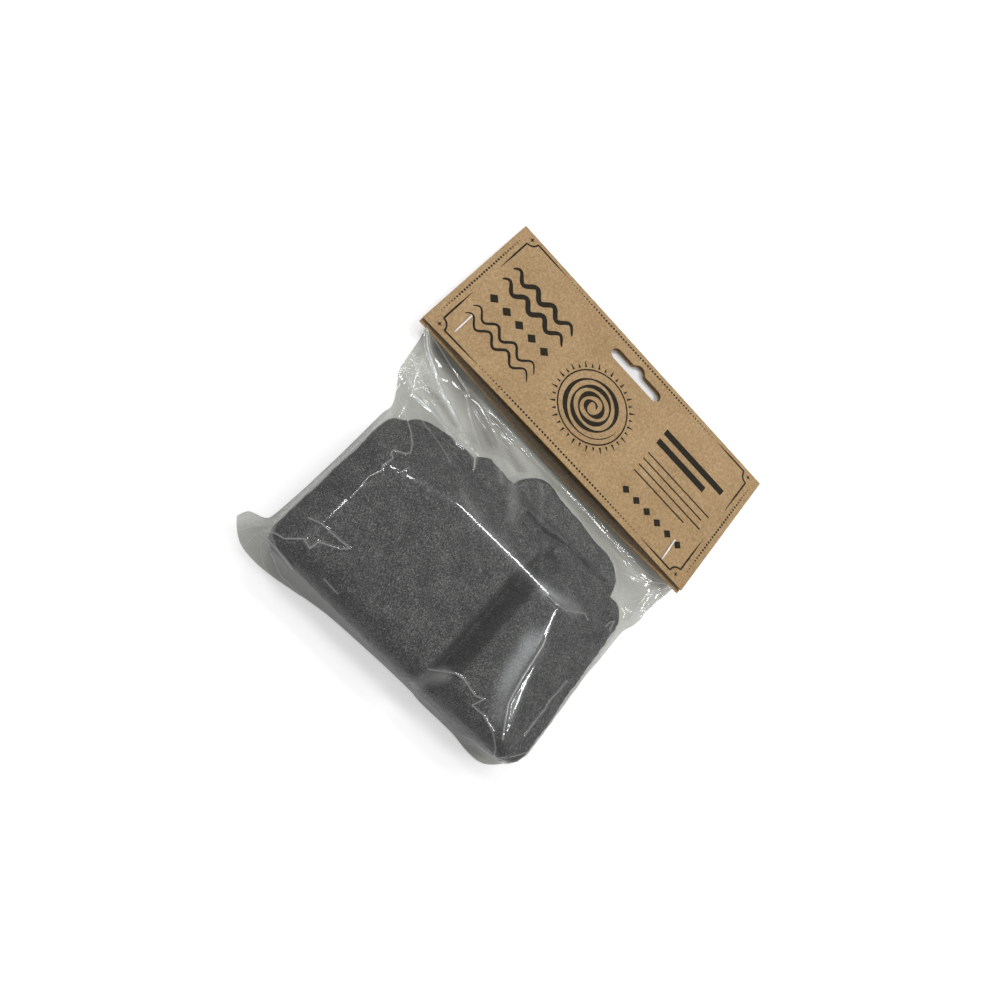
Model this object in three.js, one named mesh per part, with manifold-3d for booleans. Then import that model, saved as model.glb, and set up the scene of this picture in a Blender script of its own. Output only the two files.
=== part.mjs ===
import * as THREE from 'three';
import { LoftGeometry } from 'three/addons/geometries/LoftGeometry.js';
import { mergeVertices } from 'three/addons/utils/BufferGeometryUtils.js';
import Module from 'manifold-3d';

// A pad of steel wool in a clear bag, closed by a stapled header card.
// The pack lies on its back: X runs along the card's fold, Y from the bag's bottom seam to the fold, Z up.

// Driving dimensions of the header card, in millimetres and degrees
const CARD_WIDTH = 165;
const FRONT_LEAF = 73;
const BACK_LEAF = 74.5;
const BOARD_THICKNESS = 0.5;
const CARD_TILT = 5;

// Hang slot, a long slot with a round hump towards the fold
const SLOT_LENGTH = 32.5;
const SLOT_HEIGHT = 6;
const SLOT_HUMP_RADIUS = 3.6;
const SLOT_HUMP_RISE = 1.9;
const SLOT_HUMP_FILLET = 2;
const SLOT_FROM_FOLD = 11.5;
const SLOT_OFFSET = 2;

// Wool pad, a folded batt with a round fold at one end and the layers' ends at the other
const PAD_LENGTH = 130;
const PAD_DEPTH = 98;
const PAD_HEIGHT = 26;
const PAD_OFFSET = 4;
const PAD_ROUND = 11;
const PAD_END_ROUND = 6;
const PAD_LAYERS = 3;
const LAYER_NOTCH = 2;
const VALLEY_DEPTH = 3;
const VALLEY_WIDTH = 22;
const VALLEY_OFFSET = 21;
const SHOULDER_DROP = 20;
const SHOULDER_OFFSET = 16;

// Film bag
const FILM_THICKNESS = 0.2;
const FILM_CLEARANCE = 0.3;
const MOUTH_WIDTH = 161;
const MOUTH_GAP = 0.3;
const MOUTH_DEPTH = 38;
const NECK_LENGTH = 14;
const SEAM_WIDTH = 150;
const SEAM_FIN = 4;
const SEAM_HEIGHT = 7.5;
const SEAM_CORNER = 3;

// Staples, flat wire bent square, with both legs clinched inwards behind the card
const STAPLE_CROWN = 12.4;
const STAPLE_WIRE_WIDTH = 0.6;
const STAPLE_WIRE_DEPTH = 0.5;
const STAPLE_CLINCH = 4.5;
const STAPLE_CLEARANCE = 0.3;
const STAPLES = [
  { name: 'staple_left', side: -69, fromEdge: 12.1, turn: 0.5 },
  { name: 'staple_right', side: 65.8, fromEdge: 9.6, turn: 3 },
];

// Steps of the rounded shapes
const CORNER_STEPS = 5;
const END_STEPS = 4;
const NECK_STEPS = 6;
const SIDE_STEPS = 10;
const MERGE_DISTANCE = 1e-3;

// Sizes that follow from the driving dimensions
const tilt = THREE.MathUtils.degToRad(CARD_TILT);
const wrap = FILM_THICKNESS + FILM_CLEARANCE;
const mouthThickness = 2 * FILM_THICKNESS + MOUTH_GAP;
const mouthRound = FILM_THICKNESS + MOUTH_GAP / 4;
const leafGap = mouthThickness + 2 * FILM_CLEARANCE;
const cardThickness = leafGap + 2 * BOARD_THICKNESS;
const foldRadius = cardThickness / 2;
const leafRun = (FRONT_LEAF - foldRadius) * Math.cos(tilt);
const packLength = SEAM_FIN + 2 * wrap + PAD_DEPTH + NECK_LENGTH + leafRun + foldRadius;
const foldY = packLength / 2 - foldRadius;
const freeEdgeY = foldY - leafRun;
const padTopY = freeEdgeY - NECK_LENGTH - wrap;
const padBottomY = padTopY - PAD_DEPTH;
const padMiddleZ = wrap + PAD_HEIGHT / 2;

const wasm = await Module();
wasm.setup();

// A closed geometry as a solid that can be cut and joined
function toSolid(geometry) {
  const bare = new THREE.BufferGeometry();
  bare.setAttribute('position', geometry.getAttribute('position'));
  bare.setIndex(geometry.index);
  const merged = mergeVertices(bare, MERGE_DISTANCE);
  const corners = merged.index.array;
  const triangles = [];
  for (let i = 0; i < corners.length; i += 3) {
    const triangle = [corners[i], corners[i + 1], corners[i + 2]];
    if (new Set(triangle).size === triangle.length) triangles.push(...triangle);
  }
  return new wasm.Manifold(new wasm.Mesh({
    numProp: 3,
    vertProperties: merged.attributes.position.array,
    triVerts: new Uint32Array(triangles),
  }));
}

// A cut or joined solid as a geometry again
function toGeometry(solid) {
  const mesh = solid.getMesh();
  const geometry = new THREE.BufferGeometry();
  geometry.setAttribute('position', new THREE.BufferAttribute(mesh.vertProperties, mesh.numProp));
  geometry.setIndex(new THREE.BufferAttribute(mesh.triVerts, 1));
  geometry.computeVertexNormals();
  return geometry;
}

// Height of a point above the table on the middle plane of the tilted card
function cardMiddleZ(y) {
  return foldRadius + (foldY - y) * Math.tan(tilt);
}

// Distance from a rounded end and drop of the section there, for a quarter round cut into steps
function quarterRound(radius, step, steps) {
  const angle = (step / steps) * Math.PI / 2;
  return { along: radius * (1 - Math.cos(angle)), inset: radius * (1 - Math.sin(angle)) };
}

// A closed skin over rings listed from the bottom seam up, laid from the top down so that its faces point out
function skin(rings) {
  return new LoftGeometry(rings.toReversed(), { capStart: true, capEnd: true });
}

// Section of the pad across its length: round fold on the left, notched layer ends on the right
function padProfile() {
  const half = PAD_LENGTH / 2;
  const rise = PAD_HEIGHT / 2;
  const profile = [];
  for (let i = 0; i <= 4 * SIDE_STEPS; i++) {
    const z = -rise + (i / (4 * SIDE_STEPS)) * PAD_HEIGHT;
    const past = Math.max(0, Math.abs(z) - (rise - PAD_ROUND));
    const corner = PAD_ROUND - Math.sqrt(Math.max(0, PAD_ROUND ** 2 - past ** 2));
    const phase = (2 * Math.PI * PAD_LAYERS * (z + rise)) / PAD_HEIGHT;
    profile.push(new THREE.Vector2(half - corner - LAYER_NOTCH * (1 + Math.cos(phase)) / 2, z));
  }
  for (let i = 0; i <= 2 * SIDE_STEPS; i++) {
    const x = VALLEY_OFFSET + VALLEY_WIDTH * (0.5 - i / (2 * SIDE_STEPS));
    const phase = (2 * Math.PI * (x - VALLEY_OFFSET)) / VALLEY_WIDTH;
    profile.push(new THREE.Vector2(x, rise - VALLEY_DEPTH * (1 + Math.cos(phase)) / 2));
  }
  for (let i = 0; i <= 2 * SIDE_STEPS; i++) {
    const angle = Math.PI / 2 + (i / (2 * SIDE_STEPS)) * Math.PI;
    profile.push(new THREE.Vector2(-half + rise + rise * Math.cos(angle), rise * Math.sin(angle)));
  }
  return profile;
}

// One ring of the pad: its profile drawn in by the end round, bowed back at the shoulders of its upper end
function padRing(profile, along, inset, fromTop) {
  const half = PAD_LENGTH / 2;
  const rise = PAD_HEIGHT / 2;
  return profile.map((point) => {
    const x = point.x * (half - inset) / half;
    const z = point.y * (rise - inset) / rise;
    const shoulder = SHOULDER_DROP * ((x - SHOULDER_OFFSET) / (half + SHOULDER_OFFSET)) ** 2;
    const y = fromTop ? padTopY - shoulder - along : padBottomY + along;
    return new THREE.Vector3(x + PAD_OFFSET, y, z + padMiddleZ);
  });
}

function makeWoolPad() {
  const profile = padProfile();
  const rings = [];
  for (let i = 0; i <= END_STEPS; i++) {
    const end = quarterRound(PAD_END_ROUND, i, END_STEPS);
    rings.push(padRing(profile, end.along, end.inset, false));
  }
  for (let i = END_STEPS; i >= 0; i--) {
    const end = quarterRound(PAD_END_ROUND, i, END_STEPS);
    rings.push(padRing(profile, end.along, end.inset, true));
  }
  return skin(rings);
}

// A ring with round corners in an upright plane across the pack
function bagRing({ y, middle, half, low, high, round }, wall) {
  const corners = [
    { x: half - round, z: low + round, from: -Math.PI / 2 },
    { x: half - round, z: high - round, from: 0 },
    { x: round - half, z: high - round, from: Math.PI / 2 },
    { x: round - half, z: low + round, from: Math.PI },
  ];
  const radius = round - wall;
  const points = [];
  corners.forEach((corner) => {
    for (let i = 0; i <= CORNER_STEPS; i++) {
      const angle = corner.from + (i / CORNER_STEPS) * Math.PI / 2;
      const x = middle + corner.x + radius * Math.cos(angle);
      points.push(new THREE.Vector3(x, y, corner.z + radius * Math.sin(angle)));
    }
  });
  return points;
}

// The bag from its closed end, round the pad, through the neck and flat between the leaves of the card
function bagStations() {
  const pocketHalf = PAD_LENGTH / 2 + wrap;
  const pocketTop = PAD_HEIGHT + 2 * wrap;
  const pocketRound = PAD_ROUND + wrap;
  const stations = [];
  for (let i = 0; i <= END_STEPS; i++) {
    const end = quarterRound(PAD_END_ROUND, i, END_STEPS);
    stations.push({
      y: padBottomY + (i === 0 ? -wrap : end.along),
      middle: PAD_OFFSET,
      half: pocketHalf - end.inset,
      low: end.inset,
      high: pocketTop - end.inset,
      round: pocketRound - end.inset,
    });
  }
  const slitStart = freeEdgeY - (BACK_LEAF - FRONT_LEAF) - wrap;
  for (let i = 0; i <= NECK_STEPS; i++) {
    const blend = THREE.MathUtils.smoothstep(i / NECK_STEPS, 0, 1);
    const y = THREE.MathUtils.lerp(padTopY, slitStart, i / NECK_STEPS);
    stations.push({
      y,
      middle: PAD_OFFSET * (1 - blend),
      half: THREE.MathUtils.lerp(pocketHalf, MOUTH_WIDTH / 2, blend),
      low: (cardMiddleZ(slitStart) - mouthThickness / 2) * blend,
      high: THREE.MathUtils.lerp(pocketTop, cardMiddleZ(slitStart) + mouthThickness / 2, blend),
      round: THREE.MathUtils.lerp(pocketRound, mouthRound, blend),
    });
  }
  const mouthY = freeEdgeY + MOUTH_DEPTH * Math.cos(tilt);
  stations.push({
    y: mouthY,
    middle: 0,
    half: MOUTH_WIDTH / 2,
    low: cardMiddleZ(mouthY) - mouthThickness / 2,
    high: cardMiddleZ(mouthY) + mouthThickness / 2,
    round: mouthRound,
  });
  return stations;
}

// The sealed strip across the bottom of the bag, wider than the pad, so it stands out in two ears
function makeSeamFin() {
  const half = SEAM_WIDTH / 2;
  const depth = SEAM_FIN + FILM_THICKNESS / 2;
  const outline = new THREE.Shape();
  outline.moveTo(-half, depth);
  outline.lineTo(-half, SEAM_CORNER);
  outline.absarc(-half + SEAM_CORNER, SEAM_CORNER, SEAM_CORNER, Math.PI, 1.5 * Math.PI);
  outline.absarc(half - SEAM_CORNER, SEAM_CORNER, SEAM_CORNER, 1.5 * Math.PI, 2 * Math.PI);
  outline.lineTo(half, depth);
  const fin = new THREE.ExtrudeGeometry(outline, { depth: mouthThickness, bevelEnabled: false });
  fin.translate(PAD_OFFSET, padBottomY - wrap - SEAM_FIN, SEAM_HEIGHT - mouthThickness / 2);
  return fin;
}

function makeBag(legHoles) {
  const stations = bagStations();
  const outer = skin(stations.map((station) => bagRing(station, 0)));
  const first = stations[0];
  const last = stations[stations.length - 1];
  const hollow = [
    { ...first, y: first.y + FILM_THICKNESS },
    ...stations.slice(1, -1),
    { ...last, y: last.y + wrap },
  ];
  const inner = skin(hollow.map((station) => bagRing(station, FILM_THICKNESS)));
  let bag = toSolid(outer).add(toSolid(makeSeamFin())).subtract(toSolid(inner));
  legHoles.forEach((hole) => {
    bag = bag.subtract(toSolid(hole));
  });
  return toGeometry(bag);
}

// Outline of the card seen from its end: two leaves joined by a round fold at the origin
function makeCardStrip() {
  const innerRadius = leafGap / 2;
  const front = foldRadius - FRONT_LEAF;
  const back = foldRadius - BACK_LEAF;
  const outline = new THREE.Shape();
  outline.moveTo(back, -foldRadius);
  outline.absarc(0, 0, foldRadius, -Math.PI / 2, Math.PI / 2, false);
  outline.lineTo(front, foldRadius);
  outline.lineTo(front, innerRadius);
  outline.absarc(0, 0, innerRadius, Math.PI / 2, -Math.PI / 2, true);
  outline.lineTo(back, -innerRadius);
  const strip = new THREE.ExtrudeGeometry(outline, {
    depth: CARD_WIDTH,
    bevelEnabled: false,
    curveSegments: SIDE_STEPS,
  });
  // The outline's length becomes Y, its height Z and the extrusion X
  strip.translate(0, 0, -CARD_WIDTH / 2);
  strip.rotateX(Math.PI / 2);
  strip.rotateZ(Math.PI / 2);
  return strip;
}

// The hang slot as a block through both leaves
function makeSlotBlock() {
  const endRadius = SLOT_HEIGHT / 2;
  const run = SLOT_LENGTH / 2 - endRadius;
  const filletY = endRadius + SLOT_HUMP_FILLET;
  const filletRise = filletY - SLOT_HUMP_RISE;
  const filletX = Math.sqrt((SLOT_HUMP_RADIUS + SLOT_HUMP_FILLET) ** 2 - filletRise ** 2);
  const humpAngle = Math.atan2(filletRise, filletX);
  const outline = new THREE.Shape();
  outline.moveTo(-run, -endRadius);
  outline.absarc(run, 0, endRadius, -Math.PI / 2, Math.PI / 2, false);
  outline.absarc(filletX, filletY, SLOT_HUMP_FILLET, -Math.PI / 2, humpAngle - Math.PI, true);
  outline.absarc(0, SLOT_HUMP_RISE, SLOT_HUMP_RADIUS, humpAngle, Math.PI - humpAngle, false);
  outline.absarc(-filletX, filletY, SLOT_HUMP_FILLET, -humpAngle, -Math.PI / 2, true);
  outline.absarc(-run, 0, endRadius, Math.PI / 2, 1.5 * Math.PI, false);
  const depth = 2 * cardThickness;
  const block = new THREE.ExtrudeGeometry(outline, { depth, bevelEnabled: false, curveSegments: SIDE_STEPS });
  block.translate(SLOT_OFFSET, foldRadius - SLOT_FROM_FOLD, -depth / 2);
  return block;
}

function makeCard(legHoles) {
  let card = toSolid(makeCardStrip()).subtract(toSolid(makeSlotBlock()));
  legHoles.forEach((hole) => {
    card = card.subtract(toSolid(hole));
  });
  return toGeometry(card);
}

// One staple in its own frame: crown along Y on top of the card, legs down through it, ends turned in behind
function makeStaple() {
  const half = STAPLE_CROWN / 2;
  const inside = half - STAPLE_WIRE_DEPTH;
  const seat = foldRadius + STAPLE_CLEARANCE;
  const outline = new THREE.Shape();
  outline.moveTo(-half, seat + STAPLE_WIRE_DEPTH);
  outline.lineTo(-half, -seat - STAPLE_WIRE_DEPTH);
  outline.lineTo(-half + STAPLE_CLINCH, -seat - STAPLE_WIRE_DEPTH);
  outline.lineTo(-half + STAPLE_CLINCH, -seat);
  outline.lineTo(-inside, -seat);
  outline.lineTo(-inside, seat);
  outline.lineTo(inside, seat);
  outline.lineTo(inside, -seat);
  outline.lineTo(half - STAPLE_CLINCH, -seat);
  outline.lineTo(half - STAPLE_CLINCH, -seat - STAPLE_WIRE_DEPTH);
  outline.lineTo(half, -seat - STAPLE_WIRE_DEPTH);
  outline.lineTo(half, seat + STAPLE_WIRE_DEPTH);
  const wire = new THREE.ExtrudeGeometry(outline, { depth: STAPLE_WIRE_WIDTH, bevelEnabled: false });
  wire.translate(0, 0, -STAPLE_WIRE_WIDTH / 2);
  wire.rotateX(Math.PI / 2);
  wire.rotateZ(Math.PI / 2);
  return wire;
}

// Where a staple stands in the card's frame
function staplePlace({ side, fromEdge, turn }) {
  const place = new THREE.Matrix4().makeRotationZ(THREE.MathUtils.degToRad(turn));
  return place.setPosition(side, foldRadius - FRONT_LEAF + fromEdge, 0);
}

// The two holes that a staple's legs pass through, in the card's frame
function stapleHoles(staple) {
  const place = staplePlace(staple);
  return [-1, 1].map((end) => {
    const hole = new THREE.BoxGeometry(
      STAPLE_WIRE_WIDTH + 2 * STAPLE_CLEARANCE,
      STAPLE_WIRE_DEPTH + 2 * STAPLE_CLEARANCE,
      2 * cardThickness,
    );
    hole.translate(0, (end * (STAPLE_CROWN - STAPLE_WIRE_DEPTH)) / 2, 0);
    return hole.applyMatrix4(place);
  });
}

function material(color, roughness, metalness) {
  return new THREE.MeshStandardMaterial({ color, roughness, metalness });
}

const woolMaterial = material(0x55565a, 0.75, 0.5);
const filmMaterial = material(0xdfe2e2, 0.12, 0);
filmMaterial.transparent = true;
filmMaterial.opacity = 0.35;
const kraftMaterial = material(0xb08c5f, 0.85, 0);
const stapleMaterial = material(0xc9cbcd, 0.3, 1);

const group = new THREE.Group();

const cardGroup = new THREE.Group();
cardGroup.rotation.x = -tilt;
cardGroup.position.set(0, foldY, foldRadius);
cardGroup.updateMatrix();
group.add(cardGroup);

function addPiece(parent, name, geometry, pieceMaterial) {
  const mesh = new THREE.Mesh(geometry, pieceMaterial);
  mesh.name = name;
  parent.add(mesh);
  return mesh;
}

const holesInCard = STAPLES.flatMap(stapleHoles);
const holesInBag = holesInCard.map((hole) => hole.clone().applyMatrix4(cardGroup.matrix));

addPiece(group, 'wool_pad', makeWoolPad(), woolMaterial);
addPiece(group, 'clear_bag', makeBag(holesInBag), filmMaterial);
addPiece(cardGroup, 'header_card', makeCard(holesInCard), kraftMaterial);
STAPLES.forEach((staple) => {
  const wire = addPiece(cardGroup, staple.name, makeStaple(), stapleMaterial);
  staplePlace(staple).decompose(wire.position, wire.quaternion, wire.scale);
});

export default group;
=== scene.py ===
# A folded pad of steel wool in a clear film bag, closed by a stapled kraft header card.
# The pack lies on its back: X along the card's fold, Y from the bag's seam to the fold, Z up.
import math
import random

import bmesh
import bpy
import numpy as np
from mathutils import Matrix, Vector, noise
from mathutils.bvhtree import BVHTree
from mathutils.kdtree import KDTree


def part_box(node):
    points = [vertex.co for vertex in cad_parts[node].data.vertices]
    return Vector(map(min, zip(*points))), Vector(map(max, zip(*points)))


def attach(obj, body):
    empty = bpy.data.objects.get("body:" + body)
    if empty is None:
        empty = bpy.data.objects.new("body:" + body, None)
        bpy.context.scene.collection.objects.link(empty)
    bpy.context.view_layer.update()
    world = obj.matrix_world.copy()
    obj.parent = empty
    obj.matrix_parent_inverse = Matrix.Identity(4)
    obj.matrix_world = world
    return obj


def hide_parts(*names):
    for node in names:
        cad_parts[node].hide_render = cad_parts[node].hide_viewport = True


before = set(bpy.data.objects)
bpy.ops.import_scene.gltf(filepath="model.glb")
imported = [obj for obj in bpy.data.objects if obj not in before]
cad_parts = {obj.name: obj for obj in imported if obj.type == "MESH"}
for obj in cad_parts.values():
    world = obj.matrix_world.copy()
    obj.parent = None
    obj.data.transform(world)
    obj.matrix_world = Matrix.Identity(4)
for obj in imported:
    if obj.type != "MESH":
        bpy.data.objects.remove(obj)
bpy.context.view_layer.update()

scene = bpy.context.scene

# Wool pad: a batt of fine steel wool, felted dense and folded in from both ends, so that its two flaps
# meet in a valley on top. The cut edges of its layers step down towards the card. It lies loose in the bag.
MM = 0.001
WOOL_LAYERS = (
    # x span, y span, z span, plan corner and edge round, in millimetres
    ((-7, 61), (-91, 12.5), (1.2, 9.5), 14, 3.6),
    ((-31, 60), (-91, 0.5), (5.0, 15.0), 13, 4.0),
    ((-57, 20), (-91, -3.5), (4.0, 17.5), 12, 4.0),
    ((-61, 22.4), (-91.5, -11), (6.5, 26.3), 8, 9.8),
    ((23.0, 71.5), (-89.5, -3.5), (2.0, 26.0), 9, 9.0),
    ((-62, -34), (-91.5, -11), (1.2, 26.3), 8, 8.0),
)
WOOL_RIMS = (
    # the fuller rims of the two flaps where they meet, in the same order
    ((2, 21.4), (-88, -14), (8.0, 25.8), 3, 4.5),
    ((24.2, 43), (-86, -9), (6.0, 25.5), 3, 4.5),
)
WOOL_CUTS = (
    # a point of each slanted face of the pile and the way that face looks
    ((0.0, -29.0, 26.3), (0.0, 0.4, 1.0)),
    ((-18.0, -29.0, 26.3), (-0.1, 0.4, 1.0)),
    ((44.0, -43.0, 26.0), (0.43, 0.14, 1.0)),
    ((-49.5, 0.0, 26.3), (-0.5, 0.0, 1.0)),
)
WOOL_SHOULDER = 8
WOOL_SHOULDER_MIDDLE = 20
WOOL_SHOULDER_FROM = -55
WOOL_SHOULDER_RUN = 60
WOOL_HALF = 81
WOOL_GROOVES = (
    # half width and depth of the dark line between two layers, then its points in plan
    (2.2, 2.6, (6, -7), (19, -6.3), (29, -4.2), (45, -2.3), (53, -1.5)),
    (2.0, 1.6, (-52, -16.5), (-45, -14.5), (-31, -13.5), (-17, -13), (0, -13), (16, -13.5)),
    (2.0, 2.0, (56, -3), (61, -7), (62, -14)),
    (6.5, 8.0, (22.8, -86), (22.8, -60), (22.8, -34)),
    (6.0, 5.0, (22.8, -34), (25, -24), (27, -16)),
)
WOOL_CORNER_STEPS = 6
WOOL_EDGE_STEPS = 4
WOOL_RIM_ANGLE = 1.0
WOOL_VOXEL = 1.0
WOOL_SMOOTHING = 8
WOOL_LUMP = 0.9
WOOL_TUFT = 0.35
WOOL_LUMP_SIZE = 14.0
WOOL_TUFT_SIZE = 2.6
WOOL_WARP = 3.0
WOOL_WARP_SIZE = 26.0
WOOL_WARP_FROM = -30
WOOL_WARP_RUN = 30
WOOL_WARP_SHIFTS = (Vector((7.3, 3.1, 5.7)), Vector((2.9, 8.4, 1.2)))
LINE_STEP = 0.2


def add_piece(name, mesh, material):
    piece = bpy.data.objects.new(name, mesh)
    scene.collection.objects.link(piece)
    piece.data.materials.clear()
    piece.data.materials.append(material)
    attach(piece, "root")
    return piece


def mesh_from(name, shape):
    mesh = bpy.data.meshes.new(name)
    shape.to_mesh(mesh)
    shape.free()
    return mesh


def finished(name, mesh, *modifiers):
    """The mesh with modifiers applied, each given as its type and its settings."""
    helper = bpy.data.objects.new(name, mesh)
    scene.collection.objects.link(helper)
    for kind, settings in modifiers:
        modifier = helper.modifiers.new(kind.lower(), kind)
        for setting, value in settings.items():
            setattr(modifier, setting, value)
    graph = bpy.context.evaluated_depsgraph_get()
    result = bpy.data.meshes.new_from_object(helper.evaluated_get(graph))
    bpy.data.objects.remove(helper)
    result.name = name
    return result


def rise(value, start, run):
    """0 up to a start, then a straight rise to 1 over a run."""
    return min(1.0, max(0.0, (value - start) / run))


def wool_layer(x_span, y_span, z_span, corner, edge):
    layer = bmesh.new()
    bmesh.ops.create_cube(layer, size=1.0)
    spans = (x_span, y_span, z_span)
    bmesh.ops.scale(layer, vec=[high - low for low, high in spans], verts=layer.verts)
    bmesh.ops.translate(layer, vec=[(low + high) / 2 for low, high in spans], verts=layer.verts)
    upright = [e for e in layer.edges if abs(e.verts[0].co.z - e.verts[1].co.z) > edge]
    bmesh.ops.bevel(layer, geom=upright, offset=corner, offset_type="OFFSET", segments=WOOL_CORNER_STEPS,
                    profile=0.5, affect="EDGES", material=-1)
    rims = [e for e in layer.edges if e.calc_face_angle() > WOOL_RIM_ANGLE]
    bmesh.ops.bevel(layer, geom=rims, offset=edge, offset_type="OFFSET", segments=WOOL_EDGE_STEPS,
                    profile=0.5, affect="EDGES", material=-1)
    for place, slope in WOOL_CUTS:
        cut = bmesh.ops.bisect_plane(layer, geom=[*layer.verts, *layer.edges, *layer.faces],
                                     plane_co=place, plane_no=slope, clear_outer=True)
        rim = [item for item in cut["geom_cut"] if isinstance(item, bmesh.types.BMEdge)]
        bmesh.ops.holes_fill(layer, edges=rim)
    return mesh_from("wool_layer", layer)


def wool_pile(layers):
    """The layers in one mesh at life size, their back edges drawn in towards both sides."""
    pile = bmesh.new()
    for layer in layers:
        pile.from_mesh(wool_layer(*layer))
    for vert in pile.verts:
        reach = rise(vert.co.y, WOOL_SHOULDER_FROM, WOOL_SHOULDER_RUN)
        vert.co.y -= reach * WOOL_SHOULDER * ((vert.co.x - WOOL_SHOULDER_MIDDLE) / WOOL_HALF) ** 2
    bmesh.ops.scale(pile, vec=(MM, MM, MM), verts=pile.verts)
    return mesh_from("wool_pile", pile)


wool_stack = wool_pile(WOOL_LAYERS)
wool_mesh = finished(
    "wool_pad_felt", wool_pile(WOOL_LAYERS + WOOL_RIMS),
    ("REMESH", {"mode": "VOXEL", "voxel_size": WOOL_VOXEL * MM, "use_smooth_shade": True}),
    ("SMOOTH", {"iterations": WOOL_SMOOTHING}),
)


def line_finder(lines):
    """A function that gives a place's nearest line in plan: its distance in half widths, and its height."""
    marks = []
    for width, height, *corners in lines:
        for start, end in zip(corners, corners[1:]):
            steps = math.ceil(math.dist(start, end) / LINE_STEP)
            marks += [(Vector((*start, 0)).lerp(Vector((*end, 0)), i / steps), width, height)
                      for i in range(steps + 1)]
    tree = KDTree(len(marks))
    for i, (spot, _width, _height) in enumerate(marks):
        tree.insert(spot, i)
    tree.balance()

    def find(place):
        _spot, i, gap = tree.find((place.x / MM, place.y / MM, 0.0))
        return gap / marks[i][1], marks[i][2]

    return find


def faded(find, place):
    """The height of the nearest line, falling smoothly to 0 at its half width."""
    share, height = find(place)
    return height * (max(0.0, 1 - share) ** 2 * (1 + 2 * share))


find_groove = line_finder(WOOL_GROOVES)
felt = bmesh.new()
felt.from_mesh(wool_mesh)
felt.normal_update()
for vert in felt.verts:
    lump = noise.noise(vert.co / (WOOL_LUMP_SIZE * MM))
    tuft = noise.noise(vert.co / (WOOL_TUFT_SIZE * MM))
    lift = WOOL_LUMP * lump + WOOL_TUFT * tuft - WOOL_LUMP
    drop = faded(find_groove, vert.co) if vert.normal.z > 0 else 0.0
    spot = vert.co / (WOOL_WARP_SIZE * MM)
    warp = WOOL_WARP * rise(vert.co.y / MM, WOOL_WARP_FROM, WOOL_WARP_RUN)
    aside, ahead = (warp * noise.noise(spot + shift) for shift in WOOL_WARP_SHIFTS)
    vert.co += (vert.normal * lift + Vector((aside, ahead, -drop))) * MM
felt.to_mesh(wool_mesh)
felt.free()


def new_material(name):
    material = bpy.data.materials.new(name)
    material.use_nodes = True
    nodes = material.node_tree.nodes
    return material, nodes, material.node_tree.links, nodes["Principled BSDF"]


def ramp_node(nodes, links, factor, stops):
    ramp = nodes.new("ShaderNodeValToRGB")
    while len(ramp.color_ramp.elements) < len(stops):
        ramp.color_ramp.elements.new(0.5)
    for element, (at, colour) in zip(ramp.color_ramp.elements, stops):
        element.position = at
        element.color = (*colour, 1.0)
    links.new(factor, ramp.inputs["Fac"])
    return ramp.outputs["Color"]


def math_node(nodes, links, operation, *values):
    """A sum in a material, each of its values a number or the output of another node."""
    node = nodes.new("ShaderNodeMath")
    node.operation = operation
    for socket, value in zip(node.inputs, values):
        if isinstance(value, float):
            socket.default_value = value
        else:
            links.new(value, socket)
    return node.outputs["Value"]


def noise_node(nodes, links, vector, scale, detail):
    grain = nodes.new("ShaderNodeTexNoise")
    grain.inputs["Scale"].default_value = scale
    grain.inputs["Detail"].default_value = detail
    links.new(vector, grain.inputs["Vector"])
    return grain.outputs["Fac"]


def bump_node(nodes, links, height, strength, distance):
    bump = nodes.new("ShaderNodeBump")
    bump.inputs["Strength"].default_value = strength
    bump.inputs["Distance"].default_value = distance
    links.new(height, bump.inputs["Height"])
    return bump.outputs["Normal"]


def fibre_streaks():
    """Streaks of fibre: two stretched noises laid at a slight angle, as felted wire lies."""
    group = bpy.data.node_groups.new("fibre_streaks", "ShaderNodeTree")
    sockets = group.interface
    sockets.new_socket("Vector", in_out="INPUT", socket_type="NodeSocketVector")
    sockets.new_socket("Across", in_out="INPUT", socket_type="NodeSocketFloat")
    sockets.new_socket("Along", in_out="INPUT", socket_type="NodeSocketFloat")
    sockets.new_socket("Streaks", in_out="OUTPUT", socket_type="NodeSocketFloat")
    nodes, links = group.nodes, group.links
    inlet = nodes.new("NodeGroupInput")
    outlet = nodes.new("NodeGroupOutput")
    combine = nodes.new("ShaderNodeCombineXYZ")
    links.new(inlet.outputs["Across"], combine.inputs["X"])
    links.new(inlet.outputs["Along"], combine.inputs["Y"])
    links.new(inlet.outputs["Across"], combine.inputs["Z"])
    grains = []
    for turn in STREAK_TURNS:
        rotate = nodes.new("ShaderNodeVectorRotate")
        rotate.rotation_type = "Z_AXIS"
        rotate.inputs["Angle"].default_value = turn
        links.new(inlet.outputs["Vector"], rotate.inputs["Vector"])
        stretch = nodes.new("ShaderNodeVectorMath")
        stretch.operation = "MULTIPLY"
        links.new(rotate.outputs["Vector"], stretch.inputs[0])
        links.new(combine.outputs["Vector"], stretch.inputs[1])
        grains.append(noise_node(nodes, links, stretch.outputs["Vector"], 1.0, STREAK_DETAIL))
    halved = math_node(nodes, links, "MULTIPLY", grains[0], 0.5)
    blend = math_node(nodes, links, "MULTIPLY_ADD", grains[1], 0.5, halved)
    links.new(blend, outlet.inputs["Streaks"])
    return group


STREAK_TURNS = (0.35, -0.45)
STREAK_DETAIL = 3.0
STREAKS = fibre_streaks()


def streak_node(nodes, links, vector, across, along):
    streaks = nodes.new("ShaderNodeGroup")
    streaks.node_tree = STREAKS
    streaks.inputs["Across"].default_value = across
    streaks.inputs["Along"].default_value = along
    links.new(vector, streaks.inputs["Vector"])
    return streaks.outputs["Streaks"]


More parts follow.
